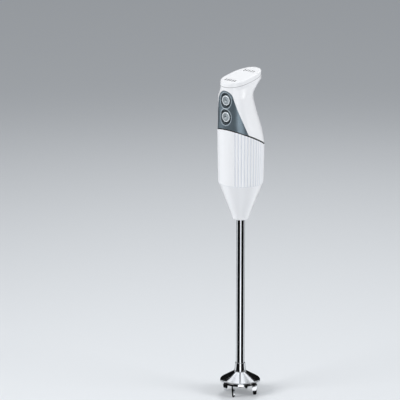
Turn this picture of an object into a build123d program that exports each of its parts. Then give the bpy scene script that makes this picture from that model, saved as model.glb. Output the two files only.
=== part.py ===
"""Immersion blender: hooked handle with two speed buttons, fluted motor housing, shaft tube, footed guard.

Millimetres, +Z up. The shaft axis is Z, the feet stand on Z = 0 and the buttons face -Y.
"""

import os
from math import atan2, copysign, cos, degrees, hypot, pi, sin

from build123d import *

# Heights above the foot plane
RIM_BOTTOM = 15.0
CONE_TOP = 27.6
NECK_TOP = 38.5
HOUSING_BOTTOM = 216.0
TAPER_BOTTOM = 219.0
TAPER_TOP = 261.5
HOUSING_TOP = 332.0
SEAM_HEIGHT = 315.3
LOW_BUTTON_HEIGHT = 363.2
HIGH_BUTTON_HEIGHT = 343.5
HEAD_HEIGHT = 380.0
CAP_SEAM_HEIGHT = 384.4
CAP_THICKNESS = 5.2

# Slopes of the two parting planes, rise per millimetre of +Y
SEAM_SLOPE = -0.484
CAP_SLOPE = 0.19

# Motor housing
BODY_RADIUS = 28.0
TAPER_RADIUS = 26.7
TIP_RADIUS = 9.9
TIP_FLAT_RADIUS = 8.2
HOUSING_WALL = 2.2
CAVITY_FLOOR = 229.0
FLUTES_PER_SIDE = 17
FLUTE_FIELD = 124.0
FLUTE_RADIUS = 1.6
FLUTE_DEPTH = 0.45
FLUTE_START = 254.0
STATOR_RIBS = 6

# Handle
GRIP_WALL = 3.2
HEAD_WALL = 3.0
SEAM_GAP = 1.4
GASKET_INSET = 0.7
GASKET_WIDTH = 2.0
PANEL_RECESS = 0.4
PANEL_WALL = 1.6
PANEL_GAP = 0.2
PANEL_LEDGE = 1.2
PANEL_TOP_RADIUS = 11.8
PANEL_CORNER_X = 25.0
PANEL_CORNER_HEIGHT = 321.0
PANEL_DEPTH = -10.0
CAP_WALL = 2.2
CAP_EDGE_RADIUS = 1.8
CAP_LIP_DEPTH = 3.0
CAP_LIP_WIDTH = 1.6
CAP_LIP_GAP = 0.15
SLIT_WIDTH = 1.5
SLIT_LENGTH = 5.0
SLIT_PITCH = 3.6
FRONT_SLITS = 5
REAR_SLITS = 5
FRONT_SLIT_Y = -18.5
REAR_SLIT_Y = 14.0
SECTION_STEPS = 2

# Buttons, depths measured along Y from the axis
BUTTON_RADIUS = 6.0
BUTTON_FACE = -26.6
BUTTON_FLANGE_FRONT = -20.9
BUTTON_FLANGE_RADIUS = 7.2
BUTTON_FLANGE_BACK = -19.7
BUTTON_HOLE_RADIUS = 6.25
BUTTON_BOSS_RADIUS = 9.4
BUTTON_BOSS_BACK = -21.3
HOLLOW_RADIUS = 4.9
HOLLOW_DEPTH = 1.1
DISH_MOUTH_RADIUS = 9.2
DISH_FLOOR_RADIUS = 6.7
DISH_FLOOR = -25.2
DISH_MOUTH = -27.7
STEM_RADIUS = 2.2
STEM_SHOULDER = -15.0
PLUNGER_RADIUS = 1.2
PLUNGER_TIP = -9.5
DOT_RADIUS = 0.8
DOT_PITCH = 2.8

# Switch carrier, switches and board
CARRIER_FRONT = -12.6
CARRIER_THICKNESS = 1.6
CARRIER_HALF_WIDTH = 10.0
CARRIER_MARGIN = 8.5
PLUNGER_HOLE_RADIUS = 1.5
SWITCH_DEPTH = 6.0
SWITCH_BORE_DEPTH = 4.2
SWITCH_WIDTH = 11.0
SWITCH_HEIGHT = 15.0
SPRING_RADIUS = 3.6
SPRING_WIRE_RADIUS = 0.3
SPRING_TURNS = 5
POST_SPREAD = 8.0
POST_RADIUS = 1.8
SCREW_RADIUS = 1.0
BOARD_THICKNESS = 1.6
BOARD_HALF_WIDTH = 9.0

# Motor, on the shaft axis
SHAFT_RADIUS = 2.5
RUNNING_CLEARANCE = 0.05
STACK_BOTTOM = 270.0
STACK_HEIGHT = 28.0
STATOR_RADIUS = 24.2
YOKE_INNER_RADIUS = 21.0
BORE_RADIUS = 13.9
ARMATURE_RADIUS = 13.2
POLE_NECK = 11.6
POLE_SHOE_RADIUS = 16.2
POLE_SHOE_CHORD = 22.0
COIL_INNER_Y = 16.4
COIL_THICKNESS = 2.2
COIL_WIDTH = 18.8
END_TURN = 5.0
ARMATURE_SLOTS = 12
SLOT_FLOOR_RADIUS = 7.8
WINDING_RADIUS = 12.6
COMMUTATOR_RADIUS = 8.5
COMMUTATOR_BOTTOM = 305.0
COMMUTATOR_HEIGHT = 9.0
BRUSH_HEIGHT = 309.5
BEARING_RADIUS = 8.0
BEARING_WIDTH = 5.0
LOWER_BEARING_BOTTOM = 256.5
LOWER_BRACKET_BOTTOM = 262.0
UPPER_BEARING_BOTTOM = 321.5
UPPER_BRACKET_BOTTOM = 319.0
BRACKET_THICKNESS = 2.5
BOLT_CIRCLE = 19.4
BOLT_ANGLE = 45.0
BOLT_RADIUS = 1.2
BOLT_HEAD_RADIUS = 2.0
FAN_BOTTOM = 247.5
FAN_HEIGHT = 6.0
FAN_RADIUS = 16.5
FAN_BLADES = 11
MOTOR_SHAFT_TOP = 328.0

# Shaft tube, drive shaft and guard
TUBE_RADIUS = 5.0
TUBE_BORE_RADIUS = 4.0
TUBE_BOTTOM = 31.0
TUBE_TOP = 236.0
TUBE_NUT_HEIGHT = 5.0
TUBE_NUT_FLATS = 15.0
BUSH_LENGTH = 12.0
DRIVE_SHAFT_TIP = 6.5
SPIGOT_TOP = 18.5
SPIGOT_RADIUS = 2.2
SHAFT_JOINT = 241.5
COUPLING_RADIUS = 5.5
COUPLING_LENGTH = 9.0
CARRIER_PIN_HEIGHT = 20.0
CARRIER_PIN_LENGTH = 9.0
NECK_TOP_RADIUS = 5.9
NECK_FOOT_RADIUS = 7.8
RIM_RADIUS = 23.9
SEAL_BOTTOM = 26.2
LEG_COUNT = 4
LEG_ANGLE = 18.0
LEG_THICKNESS = 1.9

# Cord inlet, in the rear face of the head
GLAND_HEIGHT = 389.4
GLAND_RADIUS = 2.9
GLAND_FLANGE_RADIUS = 3.4
CORD_HOLE_RADIUS = 2.2
GLAND_FACE = 27.9
GLAND_SHOULDER = 24.6
GLAND_INNER = 22.4

os.makedirs("parts", exist_ok=True)


def sloped_plane(height, slope):
    """A plane through (0, 0, height) that rises by slope along +Y, with +X across it."""
    return Plane(origin=(0, 0, height), x_dir=(1, 0, 0), z_dir=(0, -slope, 1))


def facing_front(height, depth):
    """A plane that faces the front: local x is X, local y is Z and the normal is -Y."""
    return Plane(origin=(0, depth, height), x_dir=(1, 0, 0), z_dir=(0, -1, 0))


def save(piece, name):
    """Label a finished piece and write its STEP file."""
    piece.part.label = name
    export_step(piece.part, f"parts/{name}.step")


HOUSING_CUT = sloped_plane(SEAM_HEIGHT - SEAM_GAP / 2, SEAM_SLOPE)
GRIP_CUT = sloped_plane(SEAM_HEIGHT + SEAM_GAP / 2, SEAM_SLOPE)
HEAD_PLANE = sloped_plane(HEAD_HEIGHT, CAP_SLOPE)
CAP_PLANE = sloped_plane(CAP_SEAM_HEIGHT, CAP_SLOPE)
LIP_PLANE = sloped_plane(CAP_SEAM_HEIGHT - CAP_LIP_DEPTH, CAP_SLOPE)
BUTTON_HEIGHTS = {"low": LOW_BUTTON_HEIGHT, "high": HIGH_BUTTON_HEIGHT}
MID_BUTTONS = (LOW_BUTTON_HEIGHT + HIGH_BUTTON_HEIGHT) / 2
STACK_TOP = STACK_BOTTOM + STACK_HEIGHT

# Handle form: egg-shaped sections that leave the round housing on its slanted seam, fan up through
# the narrow waist and open again into the long oval of the head.
# Each is height on the axis, slope, half width, widest line, front, back, front and back squareness.
KEY_SECTIONS = [
    (303.3, SEAM_SLOPE, 27.5, 0.0, -27.74, 27.23, 2.0, 2.0),
    (316.8, SEAM_SLOPE, 27.7, 0.0, -28.0, 27.45, 2.0, 2.0),
    (331.0, -0.30, 24.7, -4.0, -28.0, 25.6, 2.0, 2.0),
    (345.0, -0.15, 21.6, -9.5, -28.0, 19.9, 2.1, 2.0),
    (358.0, -0.05, 19.9, -12.0, -28.0, 15.1, 2.2, 2.0),
    (367.0, 0.03, 19.0, -12.5, -28.0, 13.3, 2.3, 2.0),
    (373.2, 0.12, 18.3, -9.0, -28.0, 17.6, 2.3, 2.1),
    (HEAD_HEIGHT, CAP_SLOPE, 17.6, -3.0, -28.0, 28.0, 2.35, 2.25),
]


def smooth_sections():
    """The key sections with steps between them on a smooth curve through the keys."""
    sections = []
    for index, (here, after) in enumerate(zip(KEY_SECTIONS, KEY_SECTIONS[1:])):
        before = KEY_SECTIONS[max(index - 1, 0)]
        beyond = KEY_SECTIONS[min(index + 2, len(KEY_SECTIONS) - 1)]
        for step in range(SECTION_STEPS):
            t = step / SECTION_STEPS
            sections.append(
                tuple(
                    b + 0.5 * t * (c - a + t * (2 * a - 5 * b + 4 * c - d + t * (3 * (b - c) + d - a)))
                    for a, b, c, d in zip(before, here, after, beyond)
                )
            )
    return sections + [KEY_SECTIONS[-1]]


HANDLE_SECTIONS = smooth_sections()


def oval_arcs(section, inset):
    """Four quarter curves of an egg that is widest on its middle line, as points with end directions."""
    _, slope, half_width, widest, front, back, front_squareness, back_squareness = section
    stretch = hypot(1, slope)
    side = half_width - inset
    arcs = []
    for end, squareness in ((back - inset, back_squareness), (front + inset, front_squareness)):
        turn = copysign(1, end)
        bulge = 0.5 ** (1 / squareness)
        corner_y = (widest + (end - widest) * bulge) * stretch
        right, left, tip = (side, widest * stretch), (-side, widest * stretch), (0, end * stretch)
        arcs.append(((right, (side * bulge, corner_y), tip), ((0, turn), (-1, 0))))
        arcs.append(((tip, (-side * bulge, corner_y), left), ((-1, 0), (0, -turn))))
    return arcs


def handle_form(inset, drop=0.0, rise=0.0):
    """The handle as a solid, drawn in by inset all round, its ends moved out by drop and rise."""
    last = len(HANDLE_SECTIONS) - 1
    with BuildPart() as form:
        for index, section in enumerate(HANDLE_SECTIONS):
            shift = -drop if index == 0 else rise if index == last else 0
            with BuildSketch(sloped_plane(section[0] + shift, section[1])):
                with BuildLine():
                    for points, directions in oval_arcs(section, inset):
                        Spline(*points, tangents=directions)
                make_face()
        loft(ruled=True)
    return form.part


def head_slab(plane, inset, height):
    """An upright slab of the head's oval, drawn in by inset, that stands on a plane parallel to the cap."""
    with BuildPart() as slab:
        with BuildSketch(plane):
            with BuildLine():
                for points, directions in oval_arcs(HANDLE_SECTIONS[-1], inset):
                    Spline(*points, tangents=directions)
            make_face()
        extrude(amount=height, dir=(0, 0, 1))
    return slab.part


def panel_prism(clearance):
    """The switch panel's front view, an arch round the upper button on splayed sides, as a prism."""
    foot = PANEL_CORNER_HEIGHT - HOUSING_BOTTOM
    with BuildPart() as prism:
        with BuildSketch(facing_front(0, PANEL_DEPTH)):
            with Locations((0, LOW_BUTTON_HEIGHT)):
                Circle(PANEL_TOP_RADIUS - clearance)
            with Locations((0, HOUSING_BOTTOM)):
                Rectangle(2 * (PANEL_CORNER_X - clearance), foot, align=(Align.CENTER, Align.MIN))
            make_hull()
        extrude(amount=25)
    return prism.part


def ring(inner, outer, bottom, height):
    """A plain ring on the shaft axis."""
    with BuildPart() as piece:
        with BuildSketch(Plane.XY.offset(bottom)):
            Circle(outer)
            Circle(inner, mode=Mode.SUBTRACT)
        extrude(amount=height)
    return piece


# Motor housing: drafted round wall on a cone, fluted down both sides, cut on the slanted seam
wall_draft = (BODY_RADIUS - TAPER_RADIUS) / (HOUSING_TOP - TAPER_TOP)
with BuildPart() as motor_housing:
    with BuildSketch(Plane.XZ):
        with BuildLine():
            Line((0, HOUSING_BOTTOM), (TIP_FLAT_RADIUS, HOUSING_BOTTOM))
            ThreePointArc((TIP_FLAT_RADIUS, HOUSING_BOTTOM), (9.35, 217.0), (TIP_RADIUS, TAPER_BOTTOM))
            Polyline(
                (TIP_RADIUS, TAPER_BOTTOM),
                (TAPER_RADIUS, TAPER_TOP),
                (BODY_RADIUS, HOUSING_TOP),
                (0, HOUSING_TOP),
                (0, HOUSING_BOTTOM),
            )
        make_face()
    revolve(axis=Axis.Z)
    flute_circle = TAPER_RADIUS - (TAPER_TOP - FLUTE_START) * wall_draft + FLUTE_RADIUS - FLUTE_DEPTH
    for side in (0, 180):
        with Locations(Plane.XY.offset(FLUTE_START)):
            start = side - FLUTE_FIELD / 2
            with PolarLocations(flute_circle, FLUTES_PER_SIDE, start, FLUTE_FIELD, endpoint=True):
                Cylinder(
                    FLUTE_RADIUS,
                    90,
                    rotation=(0, degrees(atan2(wall_draft, 1)), 0),
                    align=(Align.CENTER, Align.CENTER, Align.MIN),
                    mode=Mode.SUBTRACT,
                )
    with BuildSketch(Plane.XZ):
        with BuildLine():
            Polyline(
                (0, CAVITY_FLOOR),
                (11.4, CAVITY_FLOOR),
                (TAPER_RADIUS - HOUSING_WALL - 0.2, TAPER_TOP + 0.5),
                (BODY_RADIUS - HOUSING_WALL, HOUSING_TOP + 1),
                (0, HOUSING_TOP + 1),
                close=True,
            )
        make_face()
    revolve(axis=Axis.Z, mode=Mode.SUBTRACT)
    with BuildSketch(Plane.XY.offset(264.8)):
        with PolarLocations(0, STATOR_RIBS, 15):
            with Locations((STATOR_RADIUS - 1.4, 0)):
                Rectangle(2.6, 2.4, align=(Align.MIN, Align.CENTER))
    extrude(amount=STACK_BOTTOM - 264.8)
    with BuildSketch(Plane.XY.offset(STACK_BOTTOM)):
        with PolarLocations(0, STATOR_RIBS, 15):
            with Locations((STATOR_RADIUS, 0)):
                Rectangle(1.4, 2.4, align=(Align.MIN, Align.CENTER))
    extrude(amount=STACK_HEIGHT)
    with BuildSketch(Plane.XY.offset(HOUSING_BOTTOM)):
        Circle(TUBE_RADIUS)
    extrude(amount=20, mode=Mode.SUBTRACT)
    split(bisect_by=HOUSING_CUT, keep=Keep.BOTTOM)
save(motor_housing, "motor_housing")

# Dark gasket that fills the slanted seam a little below the surface
with BuildPart() as seam_gasket:
    add(handle_form(GASKET_INSET))
    add(handle_form(GASKET_INSET + GASKET_WIDTH, 4, 2), mode=Mode.SUBTRACT)
    split(bisect_by=HOUSING_CUT, keep=Keep.TOP)
    split(bisect_by=GRIP_CUT, keep=Keep.BOTTOM)
save(seam_gasket, "seam_gasket")

# Cord gland: a flanged sleeve held half in the head and half in the cap
with BuildPart() as cord_gland:
    with BuildSketch(facing_front(GLAND_HEIGHT, GLAND_FACE)):
        Circle(GLAND_RADIUS)
    extrude(amount=GLAND_FACE - GLAND_SHOULDER)
    with BuildSketch(facing_front(GLAND_HEIGHT, GLAND_SHOULDER)):
        Circle(GLAND_FLANGE_RADIUS)
    extrude(amount=GLAND_SHOULDER - GLAND_INNER)
    with BuildSketch(facing_front(GLAND_HEIGHT, GLAND_FACE)):
        Circle(CORD_HOLE_RADIUS)
    extrude(amount=GLAND_FACE - GLAND_INNER, mode=Mode.SUBTRACT)
save(cord_gland, "cord_gland")

with BuildPart() as gland_seat:
    with BuildSketch(facing_front(GLAND_HEIGHT, GLAND_FACE + 2)):
        Circle(GLAND_RADIUS)
    extrude(amount=GLAND_FACE + 2 - GLAND_SHOULDER)
    with BuildSketch(facing_front(GLAND_HEIGHT, GLAND_SHOULDER)):
        Circle(GLAND_FLANGE_RADIUS)
    extrude(amount=6)

# Grip shell: the handle's hooked form, open at the seam, at the cap and in front for the panel
with BuildPart() as panel_bed:
    add(panel_prism(0))
    add(handle_form(PANEL_RECESS + PANEL_WALL, 4, 2), mode=Mode.SUBTRACT)

with BuildPart() as grip_shell:
    add(handle_form(0))
    add(head_slab(HEAD_PLANE, 0, CAP_SEAM_HEIGHT - HEAD_HEIGHT))
    add(handle_form(GRIP_WALL, 4, 2), mode=Mode.SUBTRACT)
    add(head_slab(HEAD_PLANE, HEAD_WALL, 10), mode=Mode.SUBTRACT)
    add(panel_bed.part, mode=Mode.SUBTRACT)
    add(panel_prism(PANEL_LEDGE), mode=Mode.SUBTRACT)
    add(gland_seat.part, mode=Mode.SUBTRACT)
    split(bisect_by=GRIP_CUT, keep=Keep.TOP)
save(grip_shell, "grip_shell")

# Switch panel: the front skin of the same form, with a dished seat and a guide boss for each button
with BuildPart() as button_bosses:
    for height in BUTTON_HEIGHTS.values():
        with BuildSketch(facing_front(height, BUTTON_BOSS_BACK)):
            Circle(BUTTON_BOSS_RADIUS)
        extrude(amount=10)
    with BuildSketch(facing_front(MID_BUTTONS, CARRIER_FRONT)):
        with GridLocations(2 * POST_SPREAD, 0, 2, 1):
            Circle(POST_RADIUS)
    extrude(amount=20)
    add(handle_form(PANEL_RECESS), mode=Mode.INTERSECT)

with BuildPart() as switch_panel:
    add(panel_prism(PANEL_GAP))
    add(handle_form(PANEL_RECESS), mode=Mode.INTERSECT)
    add(handle_form(PANEL_RECESS + PANEL_WALL, 4, 2), mode=Mode.SUBTRACT)
    split(bisect_by=GRIP_CUT, keep=Keep.TOP)
    add(button_bosses.part)
    for height in BUTTON_HEIGHTS.values():
        with BuildSketch(facing_front(height, DISH_FLOOR)):
            Circle(DISH_FLOOR_RADIUS)
        with BuildSketch(facing_front(height, DISH_MOUTH)):
            Circle(DISH_MOUTH_RADIUS)
        loft(mode=Mode.SUBTRACT)
        with BuildSketch(facing_front(height, DISH_FLOOR + 6)):
            Circle(BUTTON_HOLE_RADIUS)
        extrude(amount=12, mode=Mode.SUBTRACT)
    with BuildSketch(facing_front(MID_BUTTONS, CARRIER_FRONT)):
        with GridLocations(2 * POST_SPREAD, 0, 2, 1):
            Circle(SCREW_RADIUS)
    extrude(amount=7, mode=Mode.SUBTRACT)
save(switch_panel, "switch_panel")

# Top cap: hollow oval lid on the slanted head, lipped below, with a row of slits at each end
with BuildPart() as top_cap:
    add(head_slab(CAP_PLANE, 0, CAP_THICKNESS))
    fillet(top_cap.faces().sort_by(Axis.Z)[-1].edges(), CAP_EDGE_RADIUS)
    add(head_slab(CAP_PLANE, GRIP_WALL + CAP_LIP_WIDTH, CAP_THICKNESS - CAP_WALL), mode=Mode.SUBTRACT)
    add(head_slab(LIP_PLANE, GRIP_WALL + CAP_LIP_GAP, CAP_LIP_DEPTH + 0.2))
    add(head_slab(LIP_PLANE, GRIP_WALL + CAP_LIP_WIDTH, CAP_LIP_DEPTH + 1), mode=Mode.SUBTRACT)
    with BuildSketch(Plane.XY.offset(CAP_SEAM_HEIGHT - 8)):
        with Locations((0, FRONT_SLIT_Y)):
            with GridLocations(SLIT_PITCH, 0, FRONT_SLITS, 1):
                Rectangle(SLIT_WIDTH, SLIT_LENGTH)
        with Locations((0, REAR_SLIT_Y)):
            with GridLocations(SLIT_PITCH, 0, REAR_SLITS, 1):
                Rectangle(SLIT_WIDTH, SLIT_LENGTH)
    extrude(amount=25, mode=Mode.SUBTRACT)
    add(gland_seat.part, mode=Mode.SUBTRACT)
save(top_cap, "top_cap")

# Buttons with hollowed faces, marked by one raised dot or two, each on a stepped plunger
for name, height in BUTTON_HEIGHTS.items():
    dots = 1 if name == "low" else 2
    with BuildPart() as button:
        with BuildSketch(Plane.XY.offset(height)):
            with BuildLine():
                SagittaArc((0, BUTTON_FACE + HOLLOW_DEPTH), (HOLLOW_RADIUS, BUTTON_FACE), -HOLLOW_DEPTH / 4)
                Line((HOLLOW_RADIUS, BUTTON_FACE), (BUTTON_RADIUS - 0.6, BUTTON_FACE))
                RadiusArc((BUTTON_RADIUS - 0.6, BUTTON_FACE), (BUTTON_RADIUS, BUTTON_FACE + 0.6), -0.6)
                Polyline(
                    (BUTTON_RADIUS, BUTTON_FACE + 0.6),
                    (BUTTON_RADIUS, BUTTON_FLANGE_FRONT),
                    (BUTTON_FLANGE_RADIUS, BUTTON_FLANGE_FRONT),
                    (BUTTON_FLANGE_RADIUS, BUTTON_FLANGE_BACK),
                    (STEM_RADIUS, BUTTON_FLANGE_BACK),
                    (STEM_RADIUS, STEM_SHOULDER),
                    (PLUNGER_RADIUS, STEM_SHOULDER),
                    (PLUNGER_RADIUS, PLUNGER_TIP),
                    (0, PLUNGER_TIP),
                    (0, BUTTON_FACE + HOLLOW_DEPTH),
                )
            make_face()
        revolve(axis=Axis((0, 0, height), (0, 1, 0)))
        with BuildSketch(facing_front(height, BUTTON_FACE + HOLLOW_DEPTH + 0.3)):
            with GridLocations(DOT_PITCH, 0, dots, 1):
                Circle(DOT_RADIUS)
        extrude(amount=0.8, taper=20)
    save(button, f"{name}_speed_button")

    # Return spring between the button's flange and the carrier
    coil_length = CARRIER_FRONT - BUTTON_FLANGE_BACK - 2 * SPRING_WIRE_RADIUS - 0.1
    pitch = coil_length / SPRING_TURNS
    start = CARRIER_FRONT - 0.05 - SPRING_WIRE_RADIUS
    with BuildPart() as spring:
        with BuildLine() as coil:
            Helix(pitch, coil_length, SPRING_RADIUS, center=(0, start, height), direction=(0, -1, 0))
        with BuildSketch(Plane(origin=coil.line @ 0, z_dir=coil.line % 0)):
            RegularPolygon(SPRING_WIRE_RADIUS, 6)
        sweep(is_frenet=True)
    save(spring, f"{name}_button_spring")

    # Switch block with a bore for the plunger
    switch_front = CARRIER_FRONT + CARRIER_THICKNESS
    with BuildPart() as switch:
        with BuildSketch(facing_front(height, switch_front)):
            RectangleRounded(SWITCH_WIDTH, SWITCH_HEIGHT, 1)
        extrude(amount=-SWITCH_DEPTH)
        with BuildSketch(facing_front(height, switch_front)):
            Circle(PLUNGER_HOLE_RADIUS)
        extrude(amount=-SWITCH_BORE_DEPTH, mode=Mode.SUBTRACT)
    save(switch, f"{name}_speed_switch")
print(f"button springs: least gap between coils {pitch - 2 * SPRING_WIRE_RADIUS:.2f} mm")

# Carrier plate screwed to the panel's posts
with BuildPart() as switch_carrier:
    with BuildSketch(facing_front(MID_BUTTONS, CARRIER_FRONT)):
        RectangleRounded(
            2 * CARRIER_HALF_WIDTH, LOW_BUTTON_HEIGHT - HIGH_BUTTON_HEIGHT + 2 * CARRIER_MARGIN, 2
        )
        with GridLocations(0, LOW_BUTTON_HEIGHT - HIGH_BUTTON_HEIGHT, 1, 2):
            Circle(PLUNGER_HOLE_RADIUS, mode=Mode.SUBTRACT)
        with GridLocations(2 * POST_SPREAD, 0, 2, 1):
            Circle(SCREW_RADIUS, mode=Mode.SUBTRACT)
    extrude(amount=-CARRIER_THICKNESS)
save(switch_carrier, "switch_carrier")

with BuildPart() as carrier_screws:
    with BuildSketch(facing_front(MID_BUTTONS, CARRIER_FRONT + CARRIER_THICKNESS)):
        with GridLocations(2 * POST_SPREAD, 0, 2, 1):
            Circle(SCREW_RADIUS)
    extrude(amount=CARRIER_THICKNESS + 6)
    with BuildSketch(facing_front(MID_BUTTONS, CARRIER_FRONT + CARRIER_THICKNESS)):
        with GridLocations(2 * POST_SPREAD, 0, 2, 1):
            Circle(1.7 * SCREW_RADIUS)
    extrude(amount=-1.2)
save(carrier_screws, "carrier_screws")

# Circuit board behind the switches, with its capacitor, choke and power switch
board_front = CARRIER_FRONT + CARRIER_THICKNESS + SWITCH_DEPTH
with BuildPart() as control_board:
    with BuildSketch(facing_front(MID_BUTTONS, board_front)):
        Rectangle(2 * BOARD_HALF_WIDTH, 36)
    extrude(amount=-BOARD_THICKNESS)
    with BuildSketch(facing_front(MID_BUTTONS, board_front + BOARD_THICKNESS)):
        with Locations((0, -10)):
            Rectangle(14, 8)
        with Locations((-3.5, 9)):
            Rectangle(7, 9)
        with Locations((4.5, 8)):
            Circle(3)
    extrude(amount=-5)
save(control_board, "control_board")

# Stator: round yoke with two poles and a pair of bolt ears
with BuildPart() as stator_core:
    with BuildSketch(Plane.XY.offset(STACK_BOTTOM)):
        Circle(POLE_SHOE_RADIUS)
        Rectangle(POLE_SHOE_CHORD, 4 * STATOR_RADIUS, mode=Mode.INTERSECT)
        Rectangle(POLE_NECK, 2 * (YOKE_INNER_RADIUS + 1))
        Circle(STATOR_RADIUS)
        Circle(YOKE_INNER_RADIUS, mode=Mode.SUBTRACT)
        Circle(POLE_SHOE_RADIUS)
        Rectangle(POLE_NECK, 2 * (YOKE_INNER_RADIUS + 1))
        with PolarLocations(BOLT_CIRCLE, 2, BOLT_ANGLE):
            Circle(2.6)
        Circle(BORE_RADIUS, mode=Mode.SUBTRACT)
        with GridLocations(2 * POLE_SHOE_RADIUS, 0, 2, 1):
            Rectangle(2 * POLE_SHOE_RADIUS - POLE_SHOE_CHORD, 14, mode=Mode.SUBTRACT)
        with PolarLocations(BOLT_CIRCLE, 2, BOLT_ANGLE):
            Circle(BOLT_RADIUS, mode=Mode.SUBTRACT)
    extrude(amount=STACK_HEIGHT)
save(stator_core, "stator_core")

# Field coils: a flat rounded winding round the neck of each pole
with BuildPart() as field_coils:
    for y in (-COIL_INNER_Y, COIL_INNER_Y + COIL_THICKNESS):
        with BuildSketch(facing_front((STACK_BOTTOM + STACK_TOP) / 2, y)):
            RectangleRounded(COIL_WIDTH, STACK_HEIGHT + 2 * END_TURN, 3.5)
            Rectangle(POLE_NECK, STACK_HEIGHT, mode=Mode.SUBTRACT)
        extrude(amount=COIL_THICKNESS)
save(field_coils, "field_coils")

# Armature: slotted core, winding in the slots with an end turn at each side, grooved commutator
with BuildPart() as armature_core:
    with BuildSketch(Plane.XY.offset(STACK_BOTTOM)):
        Circle(ARMATURE_RADIUS)
        with PolarLocations(SLOT_FLOOR_RADIUS, ARMATURE_SLOTS):
            Rectangle(8, 1.8, align=(Align.MIN, Align.CENTER), mode=Mode.SUBTRACT)
        Circle(SHAFT_RADIUS, mode=Mode.SUBTRACT)
    extrude(amount=STACK_HEIGHT)
save(armature_core, "armature_core")

with BuildPart() as armature_winding:
    with BuildSketch(Plane.XY.offset(STACK_BOTTOM)):
        with PolarLocations(SLOT_FLOOR_RADIUS, ARMATURE_SLOTS):
            Rectangle(WINDING_RADIUS - SLOT_FLOOR_RADIUS, 1.8, align=(Align.MIN, Align.CENTER))
    extrude(amount=STACK_HEIGHT)
    for end in (STACK_BOTTOM - END_TURN, STACK_TOP):
        with BuildSketch(Plane.XY.offset(end)):
            Circle(WINDING_RADIUS)
            Circle(SHAFT_RADIUS + 1.5, mode=Mode.SUBTRACT)
        extrude(amount=END_TURN)
save(armature_winding, "armature_winding")

with BuildPart() as commutator:
    with BuildSketch(Plane.XY.offset(COMMUTATOR_BOTTOM)):
        Circle(COMMUTATOR_RADIUS)
        with PolarLocations(COMMUTATOR_RADIUS - 0.8, ARMATURE_SLOTS):
            Rectangle(2, 0.6, align=(Align.MIN, Align.CENTER), mode=Mode.SUBTRACT)
        Circle(SHAFT_RADIUS, mode=Mode.SUBTRACT)
    extrude(amount=COMMUTATOR_HEIGHT)
save(commutator, "commutator")

with BuildPart() as motor_shaft:
    with BuildSketch(Plane.XY.offset(SHAFT_JOINT)):
        Circle(SHAFT_RADIUS)
    extrude(amount=MOTOR_SHAFT_TOP - SHAFT_JOINT)
    chamfer(motor_shaft.edges().sort_by(Axis.Z)[-1], 0.5)
save(motor_shaft, "motor_shaft")

# Brushes on both sides of the commutator, in box holders hung from the upper bracket
brush_inner = COMMUTATOR_RADIUS + 0.08
with BuildPart() as carbon_brushes:
    with BuildSketch(Plane.XY.offset(BRUSH_HEIGHT - 3.5)):
        with PolarLocations(brush_inner, 2):
            Rectangle(8, 5, align=(Align.MIN, Align.CENTER))
        Circle(brush_inner, mode=Mode.SUBTRACT)
    extrude(amount=7)
save(carbon_brushes, "carbon_brushes")

with BuildPart() as brush_holders:
    with BuildSketch(Plane.XY.offset(BRUSH_HEIGHT - 4.6)):
        with PolarLocations(10.2, 2):
            Rectangle(9.8, 7.2, align=(Align.MIN, Align.CENTER))
    extrude(amount=9.2)
    with BuildSketch(Plane.XY.offset(BRUSH_HEIGHT - 3.5)):
        with PolarLocations(10.2, 2):
            Rectangle(8.6, 5, align=(Align.MIN, Align.CENTER))
    extrude(amount=7, mode=Mode.SUBTRACT)
    with BuildSketch(Plane.XY.offset(BRUSH_HEIGHT + 4.6)):
        with PolarLocations(13.0, 2):
            Rectangle(5, 7.2, align=(Align.MIN, Align.CENTER))
    extrude(amount=UPPER_BRACKET_BOTTOM - BRUSH_HEIGHT - 4.6)
save(brush_holders, "brush_holders")

# End brackets with bearing cups, joined through the stator by two long bolts
with BuildPart() as upper_bracket:
    with BuildSketch(Plane.XY.offset(UPPER_BRACKET_BOTTOM)):
        Circle(19)
        SlotOverall(2 * BOLT_CIRCLE + 5.4, 5.4, rotation=BOLT_ANGLE)
        with PolarLocations(13.5, 2, 90):
            Circle(3, mode=Mode.SUBTRACT)
        Circle(SHAFT_RADIUS + 1, mode=Mode.SUBTRACT)
    extrude(amount=BRACKET_THICKNESS)
    with BuildSketch(Plane.XY.offset(UPPER_BEARING_BOTTOM)):
        Circle(BEARING_RADIUS + 1.8)
        Circle(BEARING_RADIUS, mode=Mode.SUBTRACT)
    extrude(amount=BEARING_WIDTH)
    with BuildSketch(Plane.XY.offset(STACK_TOP)):
        with PolarLocations(BOLT_CIRCLE, 2, BOLT_ANGLE):
            Circle(2.4)
    extrude(amount=UPPER_BRACKET_BOTTOM - STACK_TOP)
    with BuildSketch(Plane.XY.offset(STACK_TOP)):
        with PolarLocations(BOLT_CIRCLE, 2, BOLT_ANGLE):
            Circle(BOLT_RADIUS)
    extrude(amount=40, mode=Mode.SUBTRACT)
save(upper_bracket, "upper_bracket")

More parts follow.
